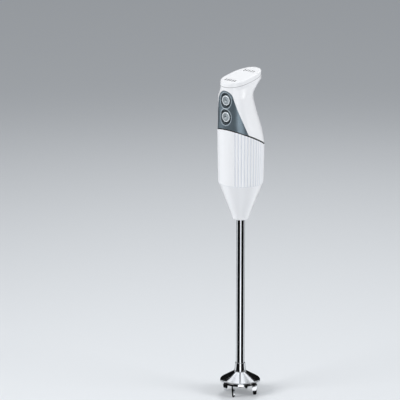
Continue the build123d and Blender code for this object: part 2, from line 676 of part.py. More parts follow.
with BuildPart() as lower_bracket:
    with BuildSketch(Plane.XY.offset(LOWER_BRACKET_BOTTOM)):
        Circle(22.6)
        with PolarLocations(15.5, 4):
            Circle(3.4, mode=Mode.SUBTRACT)
        Circle(BEARING_RADIUS, mode=Mode.SUBTRACT)
    extrude(amount=BRACKET_THICKNESS)
    with BuildSketch(Plane.XY.offset(LOWER_BEARING_BOTTOM - 1)):
        Circle(BEARING_RADIUS + 1.8)
        Circle(BEARING_RADIUS - 2, mode=Mode.SUBTRACT)
    extrude(amount=1)
    with BuildSketch(Plane.XY.offset(LOWER_BEARING_BOTTOM)):
        Circle(BEARING_RADIUS + 1.8)
        Circle(BEARING_RADIUS, mode=Mode.SUBTRACT)
    extrude(amount=LOWER_BRACKET_BOTTOM - LOWER_BEARING_BOTTOM)
    with BuildSketch(Plane.XY.offset(LOWER_BRACKET_BOTTOM + BRACKET_THICKNESS)):
        with PolarLocations(BOLT_CIRCLE, 2, BOLT_ANGLE):
            Circle(2.0)
    extrude(amount=STACK_BOTTOM - LOWER_BRACKET_BOTTOM - BRACKET_THICKNESS)
    with BuildSketch(Plane.XY.offset(LOWER_BRACKET_BOTTOM)):
        with PolarLocations(BOLT_CIRCLE, 2, BOLT_ANGLE):
            Circle(BOLT_RADIUS)
    extrude(amount=STACK_BOTTOM - LOWER_BRACKET_BOTTOM, mode=Mode.SUBTRACT)
save(lower_bracket, "lower_bracket")

with BuildPart() as bracket_bolts:
    with BuildSketch(Plane.XY.offset(LOWER_BRACKET_BOTTOM)):
        with PolarLocations(BOLT_CIRCLE, 2, BOLT_ANGLE):
            Circle(BOLT_RADIUS)
    extrude(amount=UPPER_BRACKET_BOTTOM + BRACKET_THICKNESS - LOWER_BRACKET_BOTTOM)
    with BuildSketch(Plane.XY.offset(UPPER_BRACKET_BOTTOM + BRACKET_THICKNESS)):
        with PolarLocations(BOLT_CIRCLE, 2, BOLT_ANGLE):
            Circle(BOLT_HEAD_RADIUS)
    extrude(amount=1.6)
save(bracket_bolts, "bracket_bolts")

bearing_bore = SHAFT_RADIUS + RUNNING_CLEARANCE
save(ring(bearing_bore, BEARING_RADIUS, UPPER_BEARING_BOTTOM, BEARING_WIDTH), "upper_bearing")
save(ring(bearing_bore, BEARING_RADIUS, LOWER_BEARING_BOTTOM, BEARING_WIDTH), "lower_bearing")

# Radial fan on the motor shaft: a back plate, a hub and leaning blades
with BuildPart() as cooling_fan:
    with BuildSketch(Plane.XY.offset(FAN_BOTTOM)):
        Circle(FAN_RADIUS)
    extrude(amount=1.2)
    with BuildSketch(Plane.XY.offset(FAN_BOTTOM)):
        Circle(SHAFT_RADIUS + 2.5)
        with PolarLocations(SHAFT_RADIUS + 1.8, FAN_BLADES):
            Rectangle(12, 1, rotation=-24, align=(Align.MIN, Align.CENTER))
    extrude(amount=FAN_HEIGHT)
    with BuildSketch(Plane.XY.offset(FAN_BOTTOM)):
        Circle(SHAFT_RADIUS)
    extrude(amount=FAN_HEIGHT, mode=Mode.SUBTRACT)
save(cooling_fan, "cooling_fan")

# Coupling sleeve that joins the motor shaft to the drive shaft
coupling = ring(SHAFT_RADIUS, COUPLING_RADIUS, SHAFT_JOINT - COUPLING_LENGTH / 2, COUPLING_LENGTH)
save(coupling, "shaft_coupling")

# Drive shaft down the tube, stepped for a tool's hub and cross-drilled for the pin that turns it
with BuildPart() as drive_shaft:
    with BuildSketch(Plane.XY.offset(DRIVE_SHAFT_TIP)):
        Circle(SPIGOT_RADIUS)
    extrude(amount=SPIGOT_TOP - DRIVE_SHAFT_TIP)
    chamfer(drive_shaft.edges().sort_by(Axis.Z)[0], 0.6)
    with BuildSketch(Plane.XY.offset(SPIGOT_TOP)):
        Circle(SHAFT_RADIUS)
    extrude(amount=SHAFT_JOINT - SPIGOT_TOP)
    with BuildSketch(Plane.YZ.offset(-CARRIER_PIN_LENGTH / 2)):
        with Locations((0, CARRIER_PIN_HEIGHT)):
            Circle(1)
    extrude(amount=CARRIER_PIN_LENGTH, mode=Mode.SUBTRACT)
save(drive_shaft, "drive_shaft")

with BuildPart() as carrier_pin:
    with BuildSketch(Plane.YZ.offset(-CARRIER_PIN_LENGTH / 2)):
        with Locations((0, CARRIER_PIN_HEIGHT)):
            Circle(1)
    extrude(amount=CARRIER_PIN_LENGTH)
    chamfer(carrier_pin.edges().filter_by(GeomType.CIRCLE), 0.25)
save(carrier_pin, "carrier_pin")

# Shaft tube, its nut inside the housing, the two bushes and the seal
save(ring(TUBE_BORE_RADIUS, TUBE_RADIUS, TUBE_BOTTOM, TUBE_TOP - TUBE_BOTTOM), "shaft_tube")
save(ring(bearing_bore, TUBE_BORE_RADIUS, TUBE_TOP - 2 - BUSH_LENGTH, BUSH_LENGTH), "tube_upper_bush")
save(ring(bearing_bore, TUBE_BORE_RADIUS, TUBE_BOTTOM + 1, BUSH_LENGTH), "tube_lower_bush")
save(ring(bearing_bore, TUBE_RADIUS, SEAL_BOTTOM, TUBE_BOTTOM - SEAL_BOTTOM), "shaft_seal")

with BuildPart() as tube_nut:
    with BuildSketch(Plane.XY.offset(CAVITY_FLOOR)):
        RegularPolygon(TUBE_NUT_FLATS / 2, 6, major_radius=False)
        Circle(TUBE_RADIUS, mode=Mode.SUBTRACT)
    extrude(amount=TUBE_NUT_HEIGHT)
save(tube_nut, "tube_nut")

# Blade guard: flared neck, wide bell with a band round its rim, and four radial feet
with BuildPart() as blade_guard:
    with BuildSketch(Plane.XZ):
        with BuildLine():
            Polyline((TUBE_RADIUS, 25.4), (TUBE_RADIUS, NECK_TOP), (NECK_TOP_RADIUS - 0.5, NECK_TOP))
            RadiusArc((NECK_TOP_RADIUS - 0.5, NECK_TOP), (NECK_TOP_RADIUS, NECK_TOP - 0.5), 0.5)
            Spline(
                (NECK_TOP_RADIUS, NECK_TOP - 0.5),
                (6.35, 32.5),
                (NECK_FOOT_RADIUS, CONE_TOP),
                tangents=((0.02, -1), (1, -0.85)),
            )
            Line((NECK_FOOT_RADIUS, CONE_TOP), (22.6, 18.8))
            ThreePointArc((22.6, 18.8), (23.5, 18.0), (RIM_RADIUS, 17.2))
            Polyline(
                (RIM_RADIUS, 17.2),
                (RIM_RADIUS, RIM_BOTTOM),
                (22.5, RIM_BOTTOM),
                (22.5, 16.6),
                (7.4, 25.4),
                (TUBE_RADIUS, 25.4),
            )
        make_face()
    revolve(axis=Axis.Z)
    for leg in range(LEG_COUNT):
        turn = LEG_ANGLE + 360 / LEG_COUNT * leg
        leg_plane = Plane(
            origin=(0, 0, 0),
            x_dir=(cos(turn * pi / 180), sin(turn * pi / 180), 0),
            z_dir=(sin(turn * pi / 180), -cos(turn * pi / 180), 0),
        )
        with BuildSketch(leg_plane):
            with BuildLine():
                Polyline((16.0, 21.0), (16.4, 8.0), (17.4, 1.2))
                ThreePointArc((17.4, 1.2), (17.8, 0.3), (18.6, 0))
                Line((18.6, 0), (19.6, 0))
                ThreePointArc((19.6, 0), (20.6, 0.5), (21.0, 1.6))
                Polyline((21.0, 1.6), (22.3, 9.0), (22.9, 15.4), (22.4, 17.6), (16.0, 21.0))
            make_face()
        extrude(amount=LEG_THICKNESS / 2, both=True)
save(blade_guard, "blade_guard")
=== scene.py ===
"""Looks of an immersion blender: its finishes, the springs behind its buttons and a studio round it."""

import logging
import math
from dataclasses import dataclass, replace
from enum import Enum
from functools import cache
from typing import Any, Iterable, Sequence, Union

import bmesh
import bpy
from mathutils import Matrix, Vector


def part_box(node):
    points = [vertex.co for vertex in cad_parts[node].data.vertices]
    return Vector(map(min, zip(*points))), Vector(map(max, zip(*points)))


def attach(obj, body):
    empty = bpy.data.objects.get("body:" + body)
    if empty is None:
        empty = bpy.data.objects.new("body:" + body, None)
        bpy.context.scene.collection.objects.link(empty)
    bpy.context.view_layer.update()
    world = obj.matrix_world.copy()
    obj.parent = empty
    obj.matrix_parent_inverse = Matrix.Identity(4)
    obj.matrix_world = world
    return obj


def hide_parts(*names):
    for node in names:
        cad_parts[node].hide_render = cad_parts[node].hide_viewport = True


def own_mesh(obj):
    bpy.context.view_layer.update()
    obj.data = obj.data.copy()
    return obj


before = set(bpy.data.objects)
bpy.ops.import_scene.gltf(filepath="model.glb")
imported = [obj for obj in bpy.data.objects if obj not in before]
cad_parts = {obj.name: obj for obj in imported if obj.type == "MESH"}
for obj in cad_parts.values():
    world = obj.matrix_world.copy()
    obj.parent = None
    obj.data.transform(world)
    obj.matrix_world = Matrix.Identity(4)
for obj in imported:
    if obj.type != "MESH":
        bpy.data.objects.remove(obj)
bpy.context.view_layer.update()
LOG = logging.getLogger("blender_scene")
RIGHT_ANGLE = 90.0
Triple = tuple[float, float, float]
Colour = Triple
Number = Union[int, float, "Value"]


class Value:
    """A number that comes out of a shader node; arithmetic on it adds Math nodes."""

    def __init__(self, graph: "Graph", socket: bpy.types.NodeSocket) -> None:
        """Keep the graph and the output socket that the number comes from."""
        self.graph = graph
        self.socket = socket

    def math(self, operation: str, *others: Number, swap: bool = False, clamp: bool = False) -> "Value":
        """Add one Math node.

        Args:
            operation: the Math node's operation.
            others: the other operands.
            swap: put this value last, for reflected operators.
            clamp: limit the result to 0..1.

        Returns:
            The node's result.
        """
        operands: list[Number] = [self, *others]
        if swap:
            operands.reverse()
        inputs = dict(enumerate(operands))
        node = self.graph.node("ShaderNodeMath", {"operation": operation, "use_clamp": clamp}, inputs)
        return Value(self.graph, node.outputs[0])

    def __add__(self, other: Number) -> "Value":
        """Sum."""
        return self.math("ADD", other)

    __radd__ = __add__

    def __sub__(self, other: Number) -> "Value":
        """Difference."""
        return self.math("SUBTRACT", other)

    def __rsub__(self, other: Number) -> "Value":
        """Reflected difference."""
        return self.math("SUBTRACT", other, swap=True)

    def __mul__(self, other: Number) -> "Value":
        """Product."""
        return self.math("MULTIPLY", other)

    __rmul__ = __mul__

    def __truediv__(self, other: Number) -> "Value":
        """Quotient."""
        return self.math("DIVIDE", other)

    def __rtruediv__(self, other: Number) -> "Value":
        """Reflected quotient."""
        return self.math("DIVIDE", other, swap=True)

    def __abs__(self) -> "Value":
        """Size without sign."""
        return self.math("ABSOLUTE")

    def clamped(self) -> "Value":
        """The value held within 0 and 1."""
        return self.math("ADD", 0.0, clamp=True)

    def hypot(self, other: "Value") -> "Value":
        """The length of the diagonal over two distances at right angles."""
        return (self * self + other * other).math("SQRT")

    def below(self, edge: float, soft: float) -> "Value":
        """1 under an edge and 0 over it, with a step of the soft width between."""
        return ((edge - self) / soft + 0.5).clamped()

    def above(self, edge: float, soft: float) -> "Value":
        """1 over an edge and 0 under it, with a step of the soft width between."""
        return ((self - edge) / soft + 0.5).clamped()


class Graph:
    """The node tree of one material, with short ways to add nodes and join them.

    The Mix numbers are the places of a colour Mix node's sockets.
    """

    MIX_FACTOR = 0
    MIX_LOW = 6
    MIX_HIGH = 7
    MIX_RESULT = 2

    def __init__(self, name: str) -> None:
        """Start a material that holds one shader.

        Args:
            name: the material's name.
        """
        self.material = bpy.data.materials.new(name)
        self.material.use_nodes = True
        self.tree = self.material.node_tree
        self.tree.nodes.clear()
        self.output = self.node("ShaderNodeOutputMaterial")
        self.shader = self.node("ShaderNodeBsdfPrincipled")
        self.tree.links.new(self.shader.outputs[0], self.output.inputs["Surface"])

    def node(
        self,
        kind: str,
        settings: dict[str, Any] | None = None,
        inputs: dict[Any, Any] | None = None,
    ) -> bpy.types.Node:
        """Add a node.

        Args:
            kind: the node's type.
            settings: properties set first, such as a Math node's operation.
            inputs: socket name or index to a number, tuple, Value or output socket.

        Returns:
            The node.
        """
        made = self.tree.nodes.new(kind)
        for key, value in (settings or {}).items():
            setattr(made, key, value)
        for key, value in (inputs or {}).items():
            self.feed(made.inputs[key], value)
        return made

    def feed(self, socket: bpy.types.NodeSocket, value: Any) -> None:
        """Give a socket a link or a constant.

        Args:
            socket: the input socket.
            value: a Value, an output socket, a number or a tuple.
        """
        if isinstance(value, Value):
            self.tree.links.new(value.socket, socket)
        elif isinstance(value, bpy.types.NodeSocket):
            self.tree.links.new(value, socket)
        elif isinstance(value, tuple) and socket.type == "RGBA":
            socket.default_value = (*value, 1.0)
        else:
            socket.default_value = value

    def place(self) -> bpy.types.NodeSocket:
        """The point's object coordinates, in metres."""
        return self.node("ShaderNodeTexCoord").outputs["Object"]

    def axes(self) -> tuple[Value, Value, Value]:
        """The point's X, Y and Z as numbers."""
        across, along, up = self.node("ShaderNodeSeparateXYZ", inputs={0: self.place()}).outputs
        return Value(self, across), Value(self, along), Value(self, up)

    def noise(self, scale: float, detail: float = 2.0, stretch: Triple = (1.0, 1.0, 1.0)) -> Value:
        """A noise in object space.

        Args:
            scale: cycles per metre.
            detail: octaves.
            stretch: multiplies the coordinates along each axis.

        Returns:
            The noise, 0 to 1.
        """
        spot = self.node("ShaderNodeMapping", inputs={"Vector": self.place(), "Scale": stretch})
        inputs = {"Vector": spot.outputs[0], "Scale": scale, "Detail": detail}
        return Value(self, self.node("ShaderNodeTexNoise", inputs=inputs).outputs["Fac"])

    def mix(self, mask: Value, low: Any, high: Any) -> bpy.types.NodeSocket:
        """A colour blended by a mask, from low at 0 to high at 1."""
        inputs = {self.MIX_FACTOR: mask, self.MIX_LOW: low, self.MIX_HIGH: high}
        return self.node("ShaderNodeMix", {"data_type": "RGBA"}, inputs).outputs[self.MIX_RESULT]

    def bump(self, height: Value, strength: float, distance: float) -> bpy.types.NodeSocket:
        """A normal bumped by a height of 0 to 1, with the metres that 1 stands for."""
        inputs = {"Strength": strength, "Distance": distance, "Height": height}
        return self.node("ShaderNodeBump", inputs=inputs).outputs[0]

    def dress(self, **inputs: Any) -> bpy.types.Material:
        """Set the shader's sockets, with _ for a space in their names.

        Args:
            inputs: socket names to values.

        Returns:
            The finished material.
        """
        for key, value in inputs.items():
            self.feed(self.shader.inputs[key.replace("_", " ")], value)
        return self.material


def middle(node: str) -> Vector:
    """The middle of a CAD node's box."""
    low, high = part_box(node)
    return (low + high) / 2


def shaded(colour: Colour, part: float) -> Colour:
    """A colour with only a part of its light."""
    return tuple(channel * part for channel in colour)


class Grain(Enum):
    """How the marks on a metal run, in cycles per metre along each axis."""

    ROUND = (60.0, 60.0, 1400.0)
    ALONG = (1400.0, 1400.0, 30.0)
    EVEN = (420.0, 420.0, 420.0)


@dataclass(frozen=True)
class HeadPaintedShadow:
    """Shadow in the parting line under the cap, in the slits through it and along the shell's foot.

    Each lies on a plane through a height on the shaft's axis that rises by its slope along Y.
    """

    shade: Colour = (0.02, 0.02, 0.022)
    slope: float = 0.19
    seam: float = 0.3844
    seam_half: float = 0.00022
    seam_soft: float = 0.00012
    seam_darkness: float = 0.75
    top: float = 0.3896
    slit_rows: tuple[float, ...] = (-0.0185, 0.014)
    half_row: float = 0.012
    half_slit: float = 0.0036
    slit_start: float = 0.0002
    slit_end: float = 0.0005
    slit_soft: float = 0.0001
    foot_slope: float = -0.484
    foot: float = 0.316
    foot_shadow: float = 0.0005
    foot_soft: float = 0.0003
    foot_darkness: float = 0.9

    def mask(self, graph: Graph) -> Value:
        """Where the shadow lies.

        Args:
            graph: the material's nodes.

        Returns:
            1 in the shadow, 0 outside it.
        """
        across, along, up = graph.axes()
        level = up - along * self.slope
        shadow = abs(level - self.seam).below(self.seam_half, self.seam_soft) * self.seam_darkness
        foot = (up - along * self.foot_slope).below(self.foot + self.foot_shadow, self.foot_soft)
        shadow = shadow + foot * self.foot_darkness
        under_top = level.below(self.top - self.slit_start, self.slit_soft)
        over_seam = level.above(self.seam + self.slit_end, self.slit_soft)
        in_row = abs(across).below(self.half_row, self.slit_soft)
        for row in self.slit_rows:
            in_slit = abs(along - row).below(self.half_slit, self.slit_soft)
            shadow = shadow + under_top * over_seam * in_slit * in_row
        return shadow.clamped()


@dataclass(frozen=True)
class FluteShade:
    """Soft shadow in the flutes, which lie deeper than the housing's drafted wall."""

    shade: Colour = (0.6, 0.64, 0.72)
    foot: float = 0.2615
    foot_radius: float = 0.0267
    draft: float = 0.0184
    depth: float = 0.00045
    start: float = 0.2
    darkness: float = 0.7
    below_foot: float = 0.001
    foot_soft: float = 0.0005

    def mask(self, graph: Graph) -> Value:
        """Where the shadow lies.

        Args:
            graph: the material's nodes.

        Returns:
            1 at the bottom of a flute, 0 on the wall.
        """
        across, along, up = graph.axes()
        wall = (up - self.foot) * self.draft + self.foot_radius
        sunk = (wall - across.hypot(along)) / self.depth - self.start
        return sunk.clamped() * up.above(self.foot - self.below_foot, self.foot_soft) * self.darkness


@dataclass(frozen=True)
class Moulding:
    """Plastic or rubber with a fine spark-eroded skin and slow drifts of tone."""

    name: str
    colour: Colour
    roughness: float
    skin: float = 0.02
    drift: float = 0.03
    coat: float = 0.0
    # The marks paint shadow: in the head's parting line, slits and foot, or in the housing's flutes.
    marks: Union[HeadPaintedShadow, FluteShade, None] = None
    coat_roughness: float = 0.12
    cloud_scale: float = 28.0
    cloud_dulling: float = 0.06
    skin_scale: float = 2600.0
    skin_dulling: float = 0.05
    skin_relief: float = 0.0002
    mean_dulling: float = 0.05
    painted_shadow_dulling: float = 0.2

    def material(self) -> bpy.types.Material:
        """Build the finish.

        Returns:
            The material.
        """
        graph = Graph(self.name)
        cloud = graph.noise(self.cloud_scale)
        fine = graph.noise(self.skin_scale)
        colour = graph.mix(cloud, shaded(self.colour, 1.0 - self.drift), self.colour)
        dulling = cloud * self.cloud_dulling + fine * self.skin_dulling
        rough = dulling + (self.roughness - self.mean_dulling)
        # Painted shadow: the colour goes towards the marks' shade, and those places grow a little
        # rougher.
        if self.marks:
            mask = self.marks.mask(graph)
            colour = graph.mix(mask, colour, self.marks.shade)
            rough = rough + mask * self.painted_shadow_dulling
        return graph.dress(
            Base_Color=colour,
            Roughness=rough,
            Coat_Weight=self.coat,
            Coat_Roughness=self.coat_roughness,
            Normal=graph.bump(fine, self.skin, self.skin_relief),
        )


@dataclass(frozen=True)
class Flake:
    """Metallic lacquer: flakes of two tones under a satin coat, with a painted highlight on the rim
    round each hollow and painted shade in the hollow.

    The seats name the buttons that the hollows are centred on. A hollow's wall is a cone that opens at
    45 degrees and has the dish radius at the dish floor, a place along Y. The rim is measured outwards
    from that cone. Each dot is a button and a step along X from its middle.
    """

    name: str
    dark: Colour
    light: Colour
    roughness: float
    metallic: float
    seats: tuple[str, ...]
    dish_radius: float
    dish_floor: float
    shade_and_dot_tone: Colour
    hollow_shade: float
    rim_highlight_tone: Colour
    rim: float
    rim_half: float
    rim_soft: float
    rim_highlight: float = 0.7
    rim_gloss: float = 0.14
    rim_highlight_metal_drop: float = 0.5
    hollow_edge: float = 0.0001
    hollow_soft: float = 0.0003
    dots: tuple[tuple[str, float], ...] = ()
    dot_radius: float = 0.0009
    dot_soft: float = 0.0002
    dot_darkness: float = 0.8
    flake_scale: float = 5200.0
    flake_octaves: float = 1.0
    flake_share: float = 0.7
    flake_dulling: float = 0.08
    flake_relief: float = 0.0001
    flake_bump: float = 0.03
    cloud_scale: float = 40.0
    coat: float = 0.25
    coat_roughness: float = 0.2

    def material(self) -> bpy.types.Material:
        """Build the finish.

        Returns:
            The material.
        """
        graph = Graph(self.name)
        across, along, up = graph.axes()
        flakes = graph.noise(self.flake_scale, self.flake_octaves)
        tone = flakes * self.flake_share + graph.noise(self.cloud_scale) * (1.0 - self.flake_share)
        colour = graph.mix(tone, self.dark, self.light)
        rough = flakes * self.flake_dulling + (self.roughness - self.flake_dulling / 2)
        metal: Number = self.metallic
        for seat in self.seats:
            reach = across.hypot(up - middle(seat).z)
            outside = reach + along - (self.dish_radius + self.dish_floor)
            # Painted highlight: a pale ring on the rim, made less metallic so that its pale tone shows.
            edge = abs(outside - self.rim).below(self.rim_half, self.rim_soft)
            # Painted shade: the hollow's colour goes towards the dark tone.
            hollow = outside.below(self.hollow_edge, self.hollow_soft) * self.hollow_shade
            colour = graph.mix(hollow, colour, self.shade_and_dot_tone)
            colour = graph.mix(edge * self.rim_highlight, colour, self.rim_highlight_tone)
            rough = rough - edge * self.rim_gloss
            metal = metal - edge * self.rim_highlight_metal_drop
        # The dots are printed marks in the same dark tone.
        for seat, step in self.dots:
            reach = (across - step).hypot(up - middle(seat).z)
            dot = reach.below(self.dot_radius, self.dot_soft) * self.dot_darkness
            colour = graph.mix(dot, colour, self.shade_and_dot_tone)
        return graph.dress(
            Base_Color=colour,
            Metallic=metal,
            Roughness=rough,
            Coat_Weight=self.coat,
            Coat_Roughness=self.coat_roughness,
            Normal=graph.bump(flakes, self.flake_bump, self.flake_relief),
        )


@dataclass(frozen=True)
class Metal:
    """Bare or plated metal with drawn, turned or even marks and slow dulling."""

    name: str
    colour: Colour
    roughness: float
    grain: Grain
    marks: float
    octaves: float = 3.0
    marks_relief: float = 0.00005
    cloud_scale: float = 35.0
    cloud_dulling: float = 0.03
    mean_dulling: float = 0.02
    worn: float = 0.9

    def material(self) -> bpy.types.Material:
        """Build the finish.

        Returns:
            The material.
        """
        graph = Graph(self.name)
        marks = graph.noise(1.0, self.octaves, self.grain.value)
        cloud = graph.noise(self.cloud_scale)
        dulling = marks * self.marks + cloud * self.cloud_dulling
        return graph.dress(
            Base_Color=graph.mix(cloud, shaded(self.colour, self.worn), self.colour),
            Metallic=1.0,
            Roughness=dulling + (self.roughness - self.mean_dulling),
            Normal=graph.bump(marks, self.marks, self.marks_relief),
        )


@dataclass(frozen=True)
class Winding:
    """Enamelled wire laid side by side, with painted shade between the wires."""

    name: str
    colour: Colour
    pitch: float = 0.00055
    relief: float = 0.0002
    bump: float = 0.4
    # Share of the colour kept in the painted shade between the wires.
    between: float = 0.45
    wire_share: float = 0.7
    cloud_scale: float = 90.0
    metallic: float = 0.75
    roughness: float = 0.42
    wire_gloss: float = 0.12

    def material(self) -> bpy.types.Material:
        """Build the finish.

        Returns:
            The material.
        """
        graph = Graph(self.name)
        across, along, _ = graph.axes()
        # Lighter crests and darker grooves are painted shade between the wires, mixed with a random
        # drift of tone.
        wires = ((across + along) * (2 * math.pi / self.pitch)).math("SINE") * 0.5 + 0.5
        tone = wires * self.wire_share + graph.noise(self.cloud_scale) * (1.0 - self.wire_share)
        return graph.dress(
            Base_Color=graph.mix(tone, shaded(self.colour, self.between), self.colour),
            Metallic=self.metallic,
            Roughness=self.roughness - wires * self.wire_gloss,
            Normal=graph.bump(wires, self.bump, self.relief),
        )


HEAD_WHITE = Moulding(
    "white_head_moulding",
    (0.86, 0.865, 0.88),
    roughness=0.34,
    skin=0.015,
    drift=0.02,
    coat=0.15,
    marks=HeadPaintedShadow(),
)
HOUSING_WHITE = replace(HEAD_WHITE, name="white_housing_moulding", marks=FluteShade())
BLACK = Moulding("black_moulding", (0.022, 0.022, 0.024), roughness=0.5, skin=0.06, drift=0.2)
RUBBER = Moulding("black_rubber", (0.012, 0.012, 0.013), roughness=0.68, skin=0.1, drift=0.25)
LAMINATE = Moulding("green_laminate", (0.03, 0.16, 0.06), roughness=0.45, skin=0.05, drift=0.15)
CARBON = Moulding("pressed_carbon", (0.03, 0.03, 0.032), roughness=0.6, skin=0.15, drift=0.3)
LOW_BUTTON = "low_speed_button"
HIGH_BUTTON = "high_speed_button"
BUTTONS = (LOW_BUTTON, HIGH_BUTTON)
HALF_DOT_PITCH = 0.0014
PANEL = Flake(
    "panel_lacquer",
    dark=(0.165, 0.215, 0.25),
    light=(0.275, 0.35, 0.4),
    roughness=0.31,
    metallic=0.72,
    seats=BUTTONS,
    dish_radius=0.0067,
    dish_floor=-0.0252,
    # Painted shade in the dish round each button and a painted highlight on the dish's rim.
    shade_and_dot_tone=(0.03, 0.035, 0.04),
    hollow_shade=0.9,
    rim_highlight_tone=(0.5, 0.57, 0.62),
    rim=0.0009,
    rim_half=0.0006,
    rim_soft=0.0006,
)
BUTTON = Flake(
    "button_lacquer",
    dark=(0.54, 0.61, 0.65),
    light=(0.72, 0.79, 0.83),
    roughness=0.3,
    metallic=0.5,
    seats=BUTTONS,
    dish_radius=0.0047,
    dish_floor=-0.0266,
    # Painted shade in the button's dished top and a painted highlight on its rim; the dots are printed.
    shade_and_dot_tone=(0.1, 0.12, 0.13),
    hollow_shade=0.35,
    rim_highlight_tone=(0.88, 0.91, 0.93),
    rim=0.0005,
    rim_half=0.0004,
    rim_soft=0.0002,
    dots=((LOW_BUTTON, 0.0), (HIGH_BUTTON, -HALF_DOT_PITCH), (HIGH_BUTTON, HALF_DOT_PITCH)),
)
PLATED_TONE: Colour = (0.86, 0.87, 0.885)
CHROME = Metal("bright_chrome", PLATED_TONE, roughness=0.07, grain=Grain.ALONG, marks=0.03)
BELL = Metal("polished_bell", PLATED_TONE, roughness=0.09, grain=Grain.ROUND, marks=0.04)
STEEL = Metal("turned_steel", (0.56, 0.56, 0.57), roughness=0.26, grain=Grain.ROUND, marks=0.14)
LAMINATED = Metal("core_plates", (0.3, 0.3, 0.31), roughness=0.42, grain=Grain.ROUND, marks=0.25)
ALLOY = Metal("cast_alloy", (0.6, 0.61, 0.62), roughness=0.44, grain=Grain.EVEN, marks=0.2)
BRONZE = Metal("sintered_bronze", (0.48, 0.32, 0.15), roughness=0.4, grain=Grain.EVEN, marks=0.2)
COPPER = Winding("enamelled_copper", (0.62, 0.3, 0.12))
Finish = Union[Moulding, Flake, Metal, Winding]


@cache
def material_of(finish: Finish) -> bpy.types.Material:
    """A finish's material, made at its first use and shared after that."""
    return finish.material()


def clothe(nodes: Iterable[str], finish: Finish) -> None:
    """Give CAD nodes a finish.

    Args:
        nodes: the nodes' names.
        finish: what they are made of.
    """
    for name in nodes:
        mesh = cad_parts[name].data
        mesh.materials.clear()
        mesh.materials.append(material_of(finish))
        LOG.info("node %s: %s", name, finish.name)


def add_object(name: str, mesh: bmesh.types.BMesh, material: bpy.types.Material) -> bpy.types.Object:
    """Turn a bmesh into an object of the scene.

    Args:
        name: the object's name.
        mesh: its shape in the shared frame, used up here.
        material: its material.

    Returns:
        The new object.
    """
    data = bpy.data.meshes.new(name)
    mesh.to_mesh(data)
    mesh.free()
    data.materials.append(material)
    made = bpy.data.objects.new(name, data)
    bpy.context.scene.collection.objects.link(made)
    return made


@dataclass(frozen=True)
class ButtonSpring:
    """Coil spring behind a button, wound in the CAD spring's box."""

    node: str
    joint: str
    body: str = "body"
    slot: str = "spring_steel"
    turns: int = 5
    wire: float = 0.0003
    facets: int = 10
    steps: int = 28
    travel: float = 0.002
    weld: float = 1e-6
    axis: Triple = (0.0, 1.0, 0.0)

    def wind(self) -> bmesh.types.BMesh:
        """Wind the wire in the CAD spring's box, in its place.

        Returns:
            The coil, closed at both ends.
        """
        low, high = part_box(self.node)
        heart = middle(self.node)
        start = Vector((high.x - self.wire, low.y + self.wire, heart.z))
        count = self.turns * self.steps
        climb = (high.y - low.y - 2 * self.wire) / count
        mesh = bmesh.new()
        bmesh.ops.create_circle(mesh, segments=self.facets, radius=self.wire)
        bmesh.ops.translate(mesh, verts=mesh.verts, vec=start)
        bmesh.ops.spin(
            mesh,
            geom=mesh.verts[:] + mesh.edges[:],
            cent=heart,
            axis=self.axis,
            dvec=(0.0, climb, 0.0),
            angle=2 * math.pi * self.turns,
            steps=count,
        )
        bmesh.ops.holes_fill(mesh, edges=[edge for edge in mesh.edges if edge.is_boundary], sides=0)
        bmesh.ops.remove_doubles(mesh, verts=mesh.verts, dist=self.weld)
        bmesh.ops.recalc_face_normals(mesh, faces=mesh.faces)
        for face in mesh.faces:
            face.smooth = True
        return mesh

    def build(self) -> None:
        """Put the coil in the CAD spring's place, on its body, and hide the CAD spring."""
        low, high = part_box(self.node)
        heart = middle(self.node)
        piece = add_object(f"{self.node}_coil", self.wind(), material_of(STEEL))
        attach(piece, self.body)
        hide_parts(self.node)
        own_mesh(piece)
        LOG.info("piece %s on %s", piece.name, self.body)


@dataclass
class Handle:
    """Grip shell, cap, panel and buttons."""

    white: Sequence[str] = ("grip_shell", "top_cap")
    panel: Sequence[str] = ("switch_panel",)
    buttons: Sequence[str] = BUTTONS
    rubber: Sequence[str] = ("seam_gasket", "cord_gland")
    springs: Sequence[ButtonSpring] = (
        ButtonSpring("low_button_spring", "low_button_press"),
        ButtonSpring("high_button_spring", "high_button_press"),
    )

    def dress(self) -> None:
        """Finish the handle's nodes and wind its springs."""
        clothe(self.white, HEAD_WHITE)
        clothe(self.panel, PANEL)
        clothe(self.buttons, BUTTON)
        clothe(self.rubber, RUBBER)
        for spring in self.springs:
            spring.build()


@dataclass
class MotorUnit:
    """Motor housing with the motor, switches and board inside it."""

    housing: Sequence[str] = ("motor_housing",)
    plastic: Sequence[str] = (
        "switch_carrier",
        "low_speed_switch",
        "high_speed_switch",
        "brush_holders",
        "cooling_fan",
    )
    steel: Sequence[str] = (
        "carrier_screws",
        "bracket_bolts",
        "motor_shaft",
        "upper_bearing",
        "lower_bearing",
        "shaft_coupling",
    )
    cores: Sequence[str] = ("stator_core", "armature_core")
    copper: Sequence[str] = ("field_coils", "armature_winding", "commutator")
    brackets: Sequence[str] = ("upper_bracket", "lower_bracket")
    brushes: Sequence[str] = ("carbon_brushes",)
    board: Sequence[str] = ("control_board",)

    def dress(self) -> None:
        """Finish the housing and what it holds."""
        clothe(self.housing, HOUSING_WHITE)
        clothe(self.plastic, BLACK)
        clothe(self.steel, STEEL)
        clothe(self.cores, LAMINATED)
        clothe(self.copper, COPPER)
        clothe(self.brackets, ALLOY)
        clothe(self.brushes, CARBON)
        clothe(self.board, LAMINATE)


